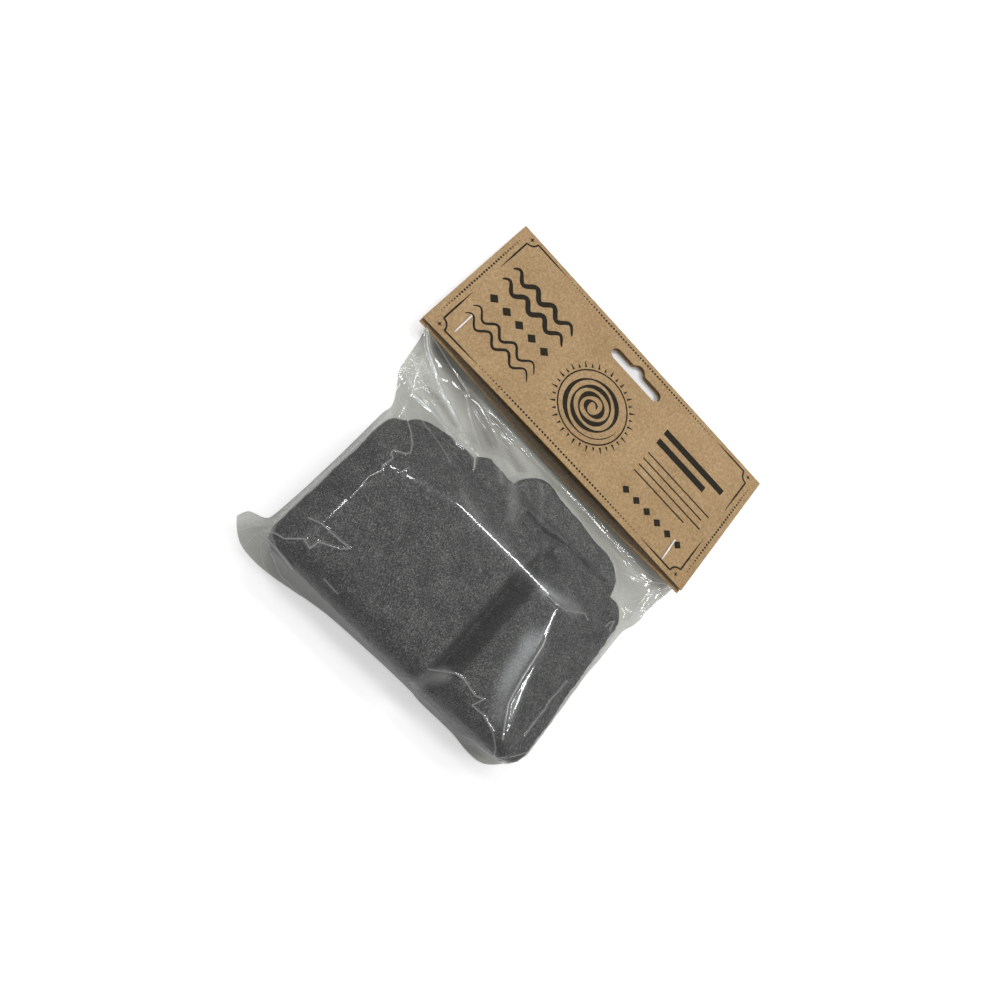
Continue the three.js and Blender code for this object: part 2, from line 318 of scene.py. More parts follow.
def wool_material():
    material, nodes, links, shader = new_material("steel_wool_felt")
    place = nodes.new("ShaderNodeTexCoord").outputs["Object"]
    fine = streak_node(nodes, links, place, 3300.0, 1200.0)
    clump = noise_node(nodes, links, place, 130.0, 3.0)
    mixed = math_node(nodes, links, "MULTIPLY_ADD", clump, 0.12, fine)
    tone = ramp_node(nodes, links, mixed, (
        (0.44, (0.013, 0.014, 0.014)),
        (0.56, (0.052, 0.054, 0.053)),
        (0.67, (0.24, 0.244, 0.240)),
    ))
    links.new(tone, shader.inputs["Base Color"])
    shader.inputs["Metallic"].default_value = 0.35
    shader.inputs["Roughness"].default_value = 0.62
    links.new(bump_node(nodes, links, fine, 0.6, 0.0003), shader.inputs["Normal"])
    return material


wool_finish = wool_material()
wool_pad = add_piece("wool_pad_felted", wool_mesh, wool_finish)
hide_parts("wool_pad")

# Loose fibres: single hairs of steel that stand a little off the felt, combed along the batt.
# Each is a fine wire that follows the surface and lifts at its ends.
HAIRS = 6000
HAIR_LENGTH = (1.5, 4.5)
HAIR_RADIUS = 0.045
HAIR_SPREAD = 0.7
HAIR_RISE = 0.2
HAIR_BEND = 0.25
HAIR_LIFT = 0.05
HAIR_END_LIFT = 0.5
HAIR_STEPS = 3
CLOSED_CAPS = ("WELD", {"merge_threshold": 0.001 * MM})

draw = random.Random(7)
felt_tree = BVHTree.FromPolygons(
    [v.co for v in wool_mesh.vertices], [p.vertices for p in wool_mesh.polygons])
hair_curve = bpy.data.curves.new("wool_hairs", "CURVE")
hair_curve.dimensions = "3D"
hair_curve.bevel_depth = HAIR_RADIUS * MM
hair_curve.bevel_resolution = 0
hair_curve.use_fill_caps = True
faces = wool_mesh.polygons
for _ in range(HAIRS):
    face = faces[draw.randrange(len(faces))]
    heading = Vector((math.sin(draw.gauss(0.0, HAIR_SPREAD)), 1.0, draw.gauss(0.0, HAIR_RISE)))
    heading = (heading - face.normal * heading.dot(face.normal)).normalized()
    length = draw.uniform(*HAIR_LENGTH) * MM
    hair = hair_curve.splines.new("POLY")
    hair.points.add(HAIR_STEPS)
    bend = face.normal.cross(heading) * draw.gauss(0.0, HAIR_BEND) * length
    for i, point in enumerate(hair.points):
        t = i / HAIR_STEPS - 0.5
        place = face.center + heading * length * t + bend * (t * t)
        near, normal, _index, _distance = felt_tree.find_nearest(place)
        lift = (HAIR_LIFT + HAIR_END_LIFT * draw.random() * abs(t)) * MM
        point.co = (*(near + normal * lift), 1.0)
hair_object = bpy.data.objects.new("wool_hairs", hair_curve)
scene.collection.objects.link(hair_object)
hair_mesh = finished("wool_hairs_wire", bpy.data.meshes.new_from_object(hair_object), CLOSED_CAPS)
bpy.data.objects.remove(hair_object)


def hair_material():
    material, nodes, links, shader = new_material("steel_hair")
    place = nodes.new("ShaderNodeTexCoord").outputs["Object"]
    patch = noise_node(nodes, links, place, 400.0, 2.0)
    tone = ramp_node(nodes, links, patch, ((0.35, (0.05, 0.052, 0.055)), (0.7, (0.26, 0.264, 0.268))))
    links.new(tone, shader.inputs["Base Color"])
    shader.inputs["Metallic"].default_value = 0.9
    shader.inputs["Roughness"].default_value = 0.45
    return material


add_piece("wool_loose_hairs", hair_mesh, hair_material())

# Film bag: a tube of clear film, sealed across its bottom, drawn tight over the pad and stapled flat
# between the leaves of the card. It starts loosely wrapped and is drawn in to its flat size over the pad.
# Its creases are raised as ridges on a finer mesh and go milky; painted glow and painted shade lie along
# listed lines.
FILM_WIDTH = 161.0
FILM_FREE = 132.0
FILM_IN_CARD = 38.0
FILM_AROUND = 132
FILM_FRONT = ((-96, 2), (-93, 17), (-86, 27.6), (-27, 28.4), (22, 7.8), (60, 4.7))
FILM_BACK = ((-96, 2), (-90, 0.8), (-60, 0.7), (0, 0.7), (22, 7.1), (60, 4.0))
FILM_POCKET_HALF = 67.6
FILM_SEAM_HALF = 77.0
FILM_POCKET_MIDDLE = 4.7
FILM_NECK = 47.0
FILM_EAR = 22.0
FILM_MOUTH_DROP = 2.6
FILM_INNER_DROP = 4.2
FILM_INNER_SHARE = 0.2
FILM_SEAM = (
    # points of the seam from left to right, and below of both side folds from the seam to the card
    (-75.4, -90.9, 6), (-69.9, -96.2, 6), (-65.4, -98.9, 5), (-55.6, -99.3, 4), (-47.3, -98.2, 3),
    (-25.9, -92.8, 2), (5.9, -90.8, 2), (21.0, -90.8, 4), (23.7, -92.6, 5), (36.1, -92.0, 3),
    (46.5, -92.2, 2), (54.3, -93.8, 1.5), (61.0, -94.3, 1.5), (65.9, -93.2, 1.5), (69.4, -90.4, 1.5),
    (73.3, -86.4, 2),
)
FILM_LEFT_EDGE = (
    (-75.4, -90.9, 6), (-73.9, -84.8, 8), (-65.0, -84.8, 10), (-64.3, -64.6, 12), (-64.3, -46.0, 13),
    (-64.9, -25.9, 13), (-65.2, -19.3, 12), (-63.2, -14.7, 10), (-66.6, -9.9, 9), (-69.9, -7.0, 9),
    (-73.8, -2.5, 9), (-75.6, 5.6, 9), (-77.5, 15.0, 8.5), (-80.4, 22, 7.8),
)
FILM_RIGHT_EDGE = (
    (73.3, -86.4, 2), (71.2, -84.9, 2), (71.9, -76.6, 4), (73.0, -52.8, 6), (75.0, -26.2, 6),
    (74.8, -8.5, 6), (77.9, -5.1, 5), (79.0, 0.6, 5), (77.9, 3.2, 6), (80.4, 22, 7.8),
)
FILM_UNDER_TRAVEL = (8.0, 100.0)
FILM_UNDER_ACROSS = (-0.8, 0.88)
FILM_UNDER_MIDDLE = 3.0
FILM_UNDER_HALF = 75.0
FILM_UNDER_START = (-92.0, 0.7)
FILM_UNDER_GATHER = 0.92
FILM_STEPS = 400
FILM_RELAX = 1.6
FILM_SHEAR = 0.6
FILM_SQUEEZE = 0.03
FILM_EVENING = 0.06
FILM_WEIGHT = 0.02
FILM_CLEAR = 0.3
FILM_TABLE = 0.35
FILM_WELD = 0.02

film_length = FILM_FREE + FILM_IN_CARD


def at_share(path, share):
    """The point at a share of the way along a path of corners."""
    corners = [Vector(corner) for corner in path]
    runs = [(end - start).length for start, end in zip(corners, corners[1:])]
    left = share * sum(runs)
    for run, start, end in zip(runs, corners, corners[1:]):
        if left <= run:
            return start.lerp(end, left / run)
        left -= run
    return corners[-1]


def along_side(path, travel):
    """The point at a film travel from the seam on a side of the bag given as (y, z) corners."""
    corners = [(0.0, y, z) for y, z in path]
    if travel <= FILM_FREE:
        return at_share(corners[:-1], travel / FILM_FREE)
    return at_share(corners[-2:], (travel - FILM_FREE) / FILM_IN_CARD)


def wrapped_point(across, travel, is_front):
    """Where the film starts: across is -1 to 1 over one side of the bag."""
    front, back = along_side(FILM_FRONT, travel), along_side(FILM_BACK, travel)
    middle = (front + back) / 2
    side = front if is_front else back
    height = (side - middle).length
    neck = rise(travel, FILM_FREE - FILM_NECK, FILM_NECK)
    ear = max(0.0, 1 - travel / FILM_EAR) ** 2
    half = FILM_POCKET_HALF * (1 - neck) + FILM_WIDTH / 2 * neck
    half += (FILM_SEAM_HALF - FILM_POCKET_HALF) * ear
    reach = across * (half + height)
    share = 1 - max(0.0, abs(reach) - half) / height if height > 1e-6 else 0.0
    place = middle + (side - middle) * share
    place.x = FILM_POCKET_MIDDLE * (1 - neck) + max(-half, min(half, reach))
    deep = (travel - FILM_FREE) / FILM_IN_CARD
    drop = FILM_MOUTH_DROP * neck
    if deep > FILM_INNER_SHARE:
        drop = FILM_INNER_DROP * (1 - deep) / (1 - FILM_INNER_SHARE)
    elif deep > 0:
        drop += (FILM_INNER_DROP - FILM_MOUTH_DROP) * deep / FILM_INNER_SHARE
    place.z -= drop * (1 - across ** 2) ** 2
    return place


def held_point(across, travel, is_front):
    """Where the seam, the side folds and the film beneath the pad lie, or None for the free film."""
    if travel < 1e-6:
        return at_share(FILM_SEAM, (across + 1) / 2)
    if abs(across) > 1 - 1e-6 and travel <= FILM_FREE:
        return at_share(FILM_LEFT_EDGE if across < 0 else FILM_RIGHT_EDGE, travel / FILM_FREE)
    under = FILM_UNDER_ACROSS[0] < across < FILM_UNDER_ACROSS[1]
    if not is_front and under and FILM_UNDER_TRAVEL[0] < travel < FILM_UNDER_TRAVEL[1]:
        y, z = FILM_UNDER_START
        return Vector((FILM_UNDER_MIDDLE + across * FILM_UNDER_HALF, y + travel * FILM_UNDER_GATHER, z))
    return None


def film_start():
    """The wrapped film in millimetres, with each point's place on the flat film and whether it is held."""
    film = bmesh.new()
    rows = round(film_length / (2 * FILM_WIDTH / FILM_AROUND))
    bmesh.ops.create_grid(film, x_segments=FILM_AROUND, y_segments=rows, size=0.5)
    flat = film.verts.layers.float_vector.new("flat")
    held = film.verts.layers.float.new("held")
    for vert in film.verts:
        turn, travel = vert.co.x + 0.5, (vert.co.y + 0.5) * film_length
        is_front = turn <= 0.5
        across = 4 * turn - 1 if is_front else 3 - 4 * turn
        place = held_point(across, travel, is_front)
        vert[flat] = Vector((across * FILM_WIDTH / 2, travel, 0.0))
        vert[held] = 1.0 if place or travel > FILM_FREE else 0.0
        vert.co = place or wrapped_point(across, travel, is_front)
    bmesh.ops.remove_doubles(film, verts=film.verts, dist=FILM_WELD)
    bmesh.ops.recalc_face_normals(film, faces=film.faces)
    film.verts.index_update()
    return film, flat, held


def hull_planes():
    """The outward faces of the pad with its hollows bridged, as the taut film meets it, in millimetres."""
    hull = bmesh.new()
    hull.from_mesh(wool_stack)
    made = bmesh.ops.convex_hull(hull, input=hull.verts, use_existing_faces=False)
    middle = sum((v.co for v in hull.verts), Vector()) / len(hull.verts)
    planes = []
    for face in made["geom"]:
        if isinstance(face, bmesh.types.BMFace):
            face.normal_update()
            place = face.calc_center_median()
            normal = face.normal if face.normal.dot(place - middle) > 0 else -face.normal
            planes.append((*normal, normal.dot(place) / MM + FILM_CLEAR))
    hull.free()
    planes = np.unique(np.array(planes).round(2), axis=0)
    return planes[:, :3], planes[:, 3]


def settle_film():
    """The film drawn in to its flat size, clear of the pad and the table, at life size."""
    film, flat, held = film_start()
    places = np.array([vert.co[:] for vert in film.verts])
    flat_places = np.array([vert[flat][:] for vert in film.verts])
    free = np.array([vert[held] < 0.5 for vert in film.verts])
    threads = [(edge.verts[0].index, edge.verts[1].index) for edge in film.edges]
    corners = [[vert.index for vert in face.verts] for face in film.faces]
    slants = [pair for c in corners if len(c) == 4 for pair in ((c[0], c[2]), (c[1], c[3]))]
    first, second = np.array(threads + slants).T
    grip = np.where(np.arange(len(first)) < len(threads), 1.0, FILM_SHEAR)
    rest = np.linalg.norm(flat_places[second] - flat_places[first], axis=1)
    count = len(places)
    shares = np.maximum(free[first].astype(float) + free[second], 1.0)
    ties = np.maximum(np.bincount(first, minlength=count) + np.bincount(second, minlength=count), 1)
    near, far = np.array(threads).T
    linked = np.maximum(np.bincount(near, minlength=count) + np.bincount(far, minlength=count), 1)
    normals, offsets = hull_planes()

    def gathered(at, to, values):
        return np.stack([np.bincount(at, values[:, k], count) - np.bincount(to, values[:, k], count)
                         for k in range(3)], axis=1)

    for _ in range(FILM_STEPS):
        span = places[second] - places[first]
        length = np.maximum(np.linalg.norm(span, axis=1), 1e-6)
        excess = length - rest
        pull = np.where(excess > 0, grip, grip * FILM_SQUEEZE) * excess / length / shares
        move = gathered(first, second, span * pull[:, None]) / ties[:, None] * FILM_RELAX
        move += gathered(near, far, places[far] - places[near]) / linked[:, None] * FILM_EVENING
        move[:, 2] -= FILM_WEIGHT
        places[free] += move[free]
        inside = offsets - places[free] @ normals.T
        nearest = inside.argmin(axis=1)
        depth = np.maximum(inside[np.arange(len(nearest)), nearest], 0.0)
        places[free] += normals[nearest] * depth[:, None]
        places[free, 2] = np.maximum(places[free, 2], FILM_TABLE)
    for vert, place in zip(film.verts, places):
        vert.co = place * MM
    return mesh_from("film_settled", film)


FILM_CREASES = (
    # half width and height of the ridge, then its points in plan from the pack's middle
    (1.3, 0.4, (44, -43), (45, -46), (46, -53), (47, -60.5), (48.4, -67.6), (49.5, -72), (53, -77.5),
     (57, -83)),
    (1.0, 0.3, (33.8, -30), (38, -30), (43, -28.6), (47, -25.6), (51.3, -22), (54.6, -22.6)),
    (0.9, 0.35, (17, -84), (26, -78), (30, -77.3), (37.5, -78.7), (41, -77.4), (39, -82), (45, -81.7),
     (52.5, -83.7), (58, -87), (60.5, -89)),
    (0.9, 0.35, (-54.5, -75), (-49.5, -73.4), (-45, -73.4), (-36, -72.7), (-38, -75.3), (-45.5, -79)),
    (1.0, 0.4, (-63, -88), (-55, -86.5), (-50, -82), (-46, -83), (-45.5, -79)),
    (1.0, 0.4, (-63, -89), (-55, -90.5), (-45, -91.5)),
    (1.0, 0.3, (-66, -86), (-70, -88.5), (-73.5, -91)),
    (1.0, 0.3, (-66, -88), (-69, -92), (-70, -95)),
    (1.0, 0.3, (-64, -90), (-64, -95), (-63, -98)),
    (1.0, 0.3, (-61, -91), (-56, -95), (-50, -97.5)),
    (1.0, 0.3, (-55, -92), (-46, -95), (-36, -94.5)),
    (0.9, 0.3, (-34.5, -87), (-27, -87.3)),
    (0.9, 0.35, (-66.7, -10), (-60, -15), (-55, -18.2), (-51, -21), (-47.4, -24.7), (-45.4, -28.4),
     (-46.5, -30.5), (-50.5, -32.7), (-50.7, -34.5), (-48.6, -36), (-49.4, -41), (-48.3, -43),
     (-50, -48), (-49.5, -52), (-49, -59)),
    (0.9, 0.3, (-43, -38.4), (-41.8, -34)),
    (1.2, 0.5, (-77.3, 19.7), (-72.6, 16), (-66.2, 12.7), (-62, 10.6), (-56.4, 7), (-52.5, 5), (-48.4, 4.2),
     (-43.5, 2.3), (-35.5, -1.7)),
    (1.4, 0.55, (-66.4, -1.6), (-61, -5.7), (-51.4, -5.3), (-43, -6.6), (-35.6, -8.6), (-31.6, -8.2),
     (-29, -4.7), (-26, -7.5), (-23, -12.3)),
    (0.9, 0.3, (-77, 20.8), (-68, 19.4), (-60.6, 17.8), (-53, 16.3), (-47.8, 15.5), (-41.7, 10.3),
     (-34.5, 5), (-26.8, -1)),
    (0.8, 0.25, (-40, 12.3), (-33.7, 10.7), (-28, 9), (-22, 7.2)),
    (0.8, 0.25, (-35, 15.4), (-27.3, 12.2), (-23.3, 10.4), (-16.5, 10.7)),
    (0.8, 0.25, (-67, 6.7), (-61, 3.6), (-57, 1), (-56, -2.4), (-50.6, 2.8), (-48.4, 4.2)),
    (0.8, 0.25, (-37.6, -6.7), (-35.5, -1)),
    (0.8, 0.25, (-78, 16.4), (-76, 9), (-75, 5), (-72, 1), (-68, -2)),
    (0.8, 0.2, (-56, -11), (-49.5, -13.4), (-39.7, -15.3), (-31, -18.6)),
    (0.9, 0.2, (-37, 16), (-17, 17.2), (0, 16.5), (24, 17.5), (40, 16.5), (64.5, 17), (74.6, 19.6),
     (79, 22)),
    (0.8, 0.2, (-31, 14), (-12, 14.4), (8, 13.6), (30, 14.2), (52, 13.4), (70, 15)),
    (0.9, 0.3, (63.7, -17.5), (64.5, -14.4), (66, -12.4), (66.6, -17)),
    (0.9, 0.3, (79, 21.5), (74, 12), (70, 4), (66, -2)),
    (0.9, 0.3, (79, 21.5), (77.5, 8), (74, 0)),
    (0.9, 0.3, (78, 21.5), (66, 13), (58, 9)),
    (0.9, 0.3, (64.5, -47), (64.3, -53), (63.5, -58), (64.3, -61.5), (63.8, -68), (64, -76)),
    (0.9, 0.3, (62, -88), (66, -84), (70, -79)),
)
FILM_MILK_AND_GLOW = (
    # half width and strength of a streak of whitened film and painted glow, then its points in plan
    (8.0, 0.15, (41.5, -46), (42.5, -53), (43.5, -60.5), (46, -70), (50, -76)),
    (3.5, 0.13, (-19.5, -25.5), (-5, -29), (9, -29.5), (22, -29.3), (32, -28.5)),
    (5.0, 0.22, (31, -29), (37, -28), (42, -27), (48, -24)),
    (5.0, 0.3, (18.6, -91), (20, -86), (23.2, -81.5)),
    (3.0, 0.32, (-77.3, 19.7), (-66.2, 12.7), (-56.4, 7), (-48.4, 4.2), (-35.5, -1.7), (-26, -8)),
    (4.0, 0.26, (-66.4, -1.6), (-54, -2), (-44, -3), (-35, -6)),
    (2.0, 0.16, (-47.8, 15.5), (-41.7, 10.3), (-34.5, 5), (-26.8, -1)),
    (3.0, 0.2, (-40, 12.3), (-28, 9), (-18, 2), (-11, -7)),
    (4.5, 0.2, (-24, 12), (-12, 3), (-4, -7), (2, -16)),
    (2.0, 0.12, (-4, 15), (6, 4), (12, -6)),
    (2.4, 0.12, (40, 16), (52, 8), (60, 0)),
    (2.4, 0.14, (79, 21.5), (70, 8), (64, 0)),
)
FILM_PAINTED_SHADE = (
    # half width and depth of painted shade: the shade under the card seen through the film, then its points
    # in plan
    (5.0, 0.75, (-69, 18.5), (-57, 16.5), (-45.7, 14.4), (-34, 12.2), (-24, 6)),
    (3.5, 0.6, (-58, 1.5), (-48, 0.5), (-41, -2)),
    (9.0, 0.2, (30, 12), (55, 11), (74, 8)),
    (5.0, 0.5, (-30, 15.5), (-19, 11.5), (-8, 6)),
)
FILM_SHEEN = (
    # half width and share of a broad soft gloss, then its points in plan
    (10.0, 0.06, (42, -46), (43.5, -56), (46, -67), (49, -75)),
    (6.0, 0.05, (30, -28.5), (37, -27.5), (44, -25)),
    (1.8, 0.16, (-77.3, 19.7), (-72.6, 16), (-66.2, 12.7), (-62, 10.6), (-56.4, 7), (-52.5, 5),
     (-48.4, 4.2), (-43.5, 2.3), (-35.5, -1.7)),
    (1.8, 0.16, (-66.4, -1.6), (-61, -5.7), (-51.4, -5.3), (-43, -6.6), (-35.6, -8.6)),
)
FILM_BULGES = (
    # half width and height of a soft swelling of the film, then its points in plan
    (10.0, 0.62, (34, -52), (35, -60), (37.5, -70)),
)
FILM_CREASE_HAZE = 1.7
FILM_CREASE_CORE = 0.45
FILM_CRINKLES = 64
FILM_CRINKLE_PLACE = (-65.5, 3.5)
FILM_CRINKLE_SPREAD = (5.5, 4.5)
FILM_CRINKLE_RUN = (2.0, 7.0)
FILM_CRINKLE_WIDTH = 0.8
FILM_CRINKLE_HEIGHT = (0.12, 0.5)
FILM_REFINE = 2
FILM_REFINE_REACH = 1.6
FILM_FRONT_TILT = 0.1
FILM_PRESS = 0.3
FILM_SLACK_FROM = -12.0
FILM_SLACK_RUN = 8.0
FILM_SLACK_TO = 17.0
FILM_SLACK_FADE = 4.0
FILM_RIPPLE = 0.42
FILM_RIPPLE_SIZE = 8.0
FILM_WOBBLE = 0.05
FILM_WOBBLE_SIZE = 11.0
FILM_STILL_FROM = 19.5
FILM_STILL_RUN = 2.0
FILM_SMOOTHING = 3


def crinkles():
    """Short crossing creases where the bag's side is crushed below the card's corner."""
    pick = random.Random(23)
    for _ in range(FILM_CRINKLES):
        x, y = (pick.gauss(*pair) for pair in zip(FILM_CRINKLE_PLACE, FILM_CRINKLE_SPREAD))
        angle, run = pick.uniform(0.0, math.pi), pick.uniform(*FILM_CRINKLE_RUN)
        reach = Vector((math.cos(angle), math.sin(angle))) * run / 2
        height = pick.uniform(*FILM_CRINKLE_HEIGHT)
        yield FILM_CRINKLE_WIDTH, height, (x - reach.x, y - reach.y), (x + reach.x, y + reach.y)


def refine_film(film, find_crease):
    """Cuts the front film finer along its creases."""
    for _ in range(FILM_REFINE):
        film.normal_update()
        close = {vert for vert in film.verts
                 if vert.normal.z > FILM_FRONT_TILT and find_crease(vert.co)[0] < FILM_REFINE_REACH}
        edges = [edge for edge in film.edges if not close.isdisjoint(edge.verts)]
        bmesh.ops.subdivide_edges(film, edges=edges, cuts=1, use_grid_fill=True)


def press_film(film):
    """Brings the film out to the pad wherever it has sunk deeper than its clearance."""
    normals, offsets = hull_planes()
    for vert in film.verts:
        inside = offsets - normals @ (np.array(vert.co) / MM)
        nearest = inside.argmin()
        if inside[nearest] > FILM_PRESS:
            vert.co += Vector(normals[nearest]) * (inside[nearest] - FILM_PRESS) * MM


def crease_film(mesh):
    """Raises the front film's creases and marks where it is milky or carries painted glow, painted shade or
    gloss.
    """
    find_crease = line_finder([*FILM_CREASES, *crinkles()])
    find_milk_and_glow = line_finder(FILM_MILK_AND_GLOW)
    find_painted_shade = line_finder(FILM_PAINTED_SHADE)
    find_sheen = line_finder(FILM_SHEEN)
    find_bulge = line_finder(FILM_BULGES)
    film = bmesh.new()
    film.from_mesh(mesh)
    refine_film(film, find_crease)
    film.normal_update()
    press_film(film)
    film.normal_update()
    milk_and_glow = film.verts.layers.float.new("milk_and_glow")
    painted_shade = film.verts.layers.float.new("painted_shade")
    sheen = film.verts.layers.float.new("sheen")
    lifts = []
    for vert in film.verts:
        if vert.normal.z > FILM_FRONT_TILT:
            share, height = find_crease(vert.co)
            core = FILM_CREASE_HAZE * height * max(0.0, 1 - share / FILM_CREASE_CORE)
            # milky whitening of creased film, with painted glow and painted highlight lines along the
            # streaks
            vert[milk_and_glow] = max(core, faded(find_milk_and_glow, vert.co))
            # painted shade: the shade under the card, laid on the film near the card's free edge
            vert[painted_shade] = faded(find_painted_shade, vert.co)
            vert[sheen] = faded(find_sheen, vert.co)
            y = vert.co.y / MM
            slack = rise(y, FILM_SLACK_FROM, FILM_SLACK_RUN) * (1 - rise(y, FILM_SLACK_TO, FILM_SLACK_FADE))
            lift = height * max(0.0, 1 - share)
            lift += faded(find_bulge, vert.co)
            lift += slack * FILM_RIPPLE * noise.noise(vert.co / (FILM_RIPPLE_SIZE * MM))
            lift += FILM_WOBBLE * noise.noise(vert.co / (FILM_WOBBLE_SIZE * MM))
            lift *= 1 - rise(y, FILM_STILL_FROM, FILM_STILL_RUN)
            lifts.append((vert, vert.normal * lift * MM))
    for vert, lift in lifts:
        vert.co += lift
    bmesh.ops.triangulate(film, faces=[f for f in film.faces if len(f.verts) > 4])
    for face in film.faces:
        face.smooth = True
    film.to_mesh(mesh)
    film.free()


film_mesh = finished(
    "film_bag", settle_film(),
    ("SMOOTH", {"iterations": FILM_SMOOTHING}),
    ("SUBSURF", {"levels": 1, "render_levels": 1}),
)
crease_film(film_mesh)
FILM_CLEAR_COLOUR = (0.888, 0.89, 0.868)
FILM_PAINTED_SHADE_COLOUR = (0.36, 0.35, 0.32)
FILM_MILK_COLOUR = (0.80, 0.81, 0.78, 1.0)
FILM_BLOOM_COLOUR = (0.92, 0.97, 1.0, 1.0)
FILM_HAZE = 0.012
FILM_EDGE_HAZE = 0.22
FILM_SHINE = 0.058
FILM_BLOOM = 0.25


def film_material():
    material = bpy.data.materials.new("clear_film")
    material.use_nodes = True
    nodes, links = material.node_tree.nodes, material.node_tree.links
    nodes.clear()
    output = nodes.new("ShaderNodeOutputMaterial")
    place = nodes.new("ShaderNodeTexCoord").outputs["Object"]
    crinkle = noise_node(nodes, links, place, 90.0, 2.0)
    normal = bump_node(nodes, links, crinkle, 0.12, 0.001)
    slant = nodes.new("ShaderNodeLayerWeight")
    slant.inputs["Blend"].default_value = 0.5
    links.new(normal, slant.inputs["Normal"])

    def surface(kind, **settings):
        """The output of a shader of one kind, with its settings."""
        shader = nodes.new("ShaderNodeBsdf" + kind)
        for name, value in settings.items():
            shader.inputs[name].default_value = value
        return shader.outputs["BSDF"]

    def mark(name):
        """The value of a mark that the film's points carry."""
        attribute = nodes.new("ShaderNodeAttribute")
        attribute.attribute_name = name
        return attribute.outputs["Fac"]

    def by_slant(power, gain, base):
        """A share that grows as the film turns away from the eye."""
        raised = math_node(nodes, links, "POWER", slant.outputs["Facing"], power)
        share = math_node(nodes, links, "MULTIPLY_ADD", raised, gain, base)
        share.node.use_clamp = True
        return share

    def mixed(factor, first, second):
        mix = nodes.new("ShaderNodeMixShader")
        if isinstance(factor, float):
            mix.inputs["Fac"].default_value = factor
        else:
            links.new(factor, mix.inputs["Fac"])
        links.new(first, mix.inputs[1])
        links.new(second, mix.inputs[2])
        return mix.outputs["Shader"]

    clear = surface("Transparent")
    # The clear tint deepens to a painted shade where the shade under the card lies beneath the film.
    tint = ramp_node(nodes, links, mark("painted_shade"), ((0.0, FILM_CLEAR_COLOUR), (1.0, FILM_PAINTED_SHADE_COLOUR)))
    links.new(tint, clear.node.inputs["Color"])
    lit = surface("Diffuse", Color=FILM_MILK_COLOUR)
    passed = surface("Translucent", Color=FILM_MILK_COLOUR)
    # Milky where the film turns away and where it whitens, with painted glow along its streaks.
    milky = math_node(nodes, links, "ADD", by_slant(2.5, FILM_EDGE_HAZE, FILM_HAZE), mark("milk_and_glow"))
    milky.node.use_clamp = True
    film = mixed(milky, clear, mixed(0.5, lit, passed))
    shine = surface("Glossy", Color=(1.0, 1.0, 1.0, 1.0), Roughness=0.06)
    links.new(normal, shine.node.inputs["Normal"])
    bloom = surface("Glossy", Color=FILM_BLOOM_COLOUR, Roughness=0.3)
    gloss = mixed(FILM_BLOOM, shine, bloom)
    film = mixed(by_slant(5.0, 1 - FILM_SHINE, FILM_SHINE), film, gloss)
    film = mixed(mark("sheen"), film, bloom)
    links.new(film, output.inputs["Surface"])
    return material


film_bag = add_piece("clear_film_bag", film_mesh, film_material())
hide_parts("clear_bag")

# Header card: one strip of kraft board folded in half over the bag's mouth, its fold on the table and its
# free edges lifted by the bag. The front leaf bows up a little, and a hang slot is punched through both.
CARD_WIDTH = 165.0
CARD_FRONT = 73.0
CARD_BACK = 74.5
CARD_BOARD = 0.5
CARD_FOLD_RADIUS = 1.15
CARD_TILT = math.radians(5)
CARD_BOW = 1.5
CARD_SAG = 5.2
CARD_LEAF_ROWS = 24
CARD_FOLD_ROWS = 8
CARD_COLUMNS = 60
SLOT_LENGTH = 32.5
SLOT_HEIGHT = 6.0
SLOT_HUMP_RADIUS = 3.6
SLOT_HUMP_RISE = 1.9
SLOT_HUMP_FILLET = 2.0
SLOT_FROM_FOLD = 11.5
SLOT_OFFSET = 2.0
SLOT_STEPS = 12
SLOT_PUNCH_HALF = 4.0

card_fold = Vector((0.0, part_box("header_card")[1].y / MM - CARD_FOLD_RADIUS, CARD_FOLD_RADIUS))
card_turn = Matrix.Rotation(-CARD_TILT, 3, "X")
front_middle = CARD_FOLD_RADIUS - CARD_BOARD / 2


def bow(x, down):
    """Lift of the front leaf at x and at a distance down from the fold, in millimetres."""
    side = 1 - (2 * x / CARD_WIDTH) ** 2
    return CARD_BOW * side * (max(0.0, down) / CARD_FRONT) ** 2


def sag(x, down):
    """Drop of the back leaf towards the table, between the staples that hold its ends up."""
    side = (1 - (2 * x / CARD_WIDTH) ** 2) ** 2
    return CARD_SAG * side * (max(0.0, down) / CARD_BACK) ** 1.5


def card_point(x, down, height):
    """A point of the pack from the card's own sizes: across, down from the fold, and above its middle."""
    return (card_fold + card_turn @ Vector((x, -down, height))) * MM


def on_front(x, from_edge, lift):
    """A point on the front leaf's face, given from the leaf's middle and its free edge, in millimetres."""
    down = CARD_FRONT - CARD_FOLD_RADIUS - from_edge
    return card_point(x, down, CARD_FOLD_RADIUS + bow(x, down) + lift)


def card_strip():
    strip = bmesh.new()
    rows = 2 * CARD_LEAF_ROWS + CARD_FOLD_ROWS
    bmesh.ops.create_grid(strip, x_segments=CARD_COLUMNS, y_segments=rows, size=0.5)
    for vert in strip.verts:
        x, row = vert.co.x * CARD_WIDTH, (vert.co.y + 0.5) * rows
        if row <= CARD_LEAF_ROWS:
            down = (CARD_FRONT - CARD_FOLD_RADIUS) * (1 - row / CARD_LEAF_ROWS)
            vert.co = card_point(x, down, front_middle + bow(x, down))
        elif row < CARD_LEAF_ROWS + CARD_FOLD_ROWS:
            angle = math.pi / 2 - math.pi * (row - CARD_LEAF_ROWS) / CARD_FOLD_ROWS
            vert.co = card_point(x, -front_middle * math.cos(angle), front_middle * math.sin(angle))
        else:
            down = (CARD_BACK - CARD_FOLD_RADIUS) * (row - CARD_LEAF_ROWS - CARD_FOLD_ROWS) / CARD_LEAF_ROWS
            vert.co = card_point(x, down, -front_middle - sag(x, down))
    return mesh_from("card_strip", strip)


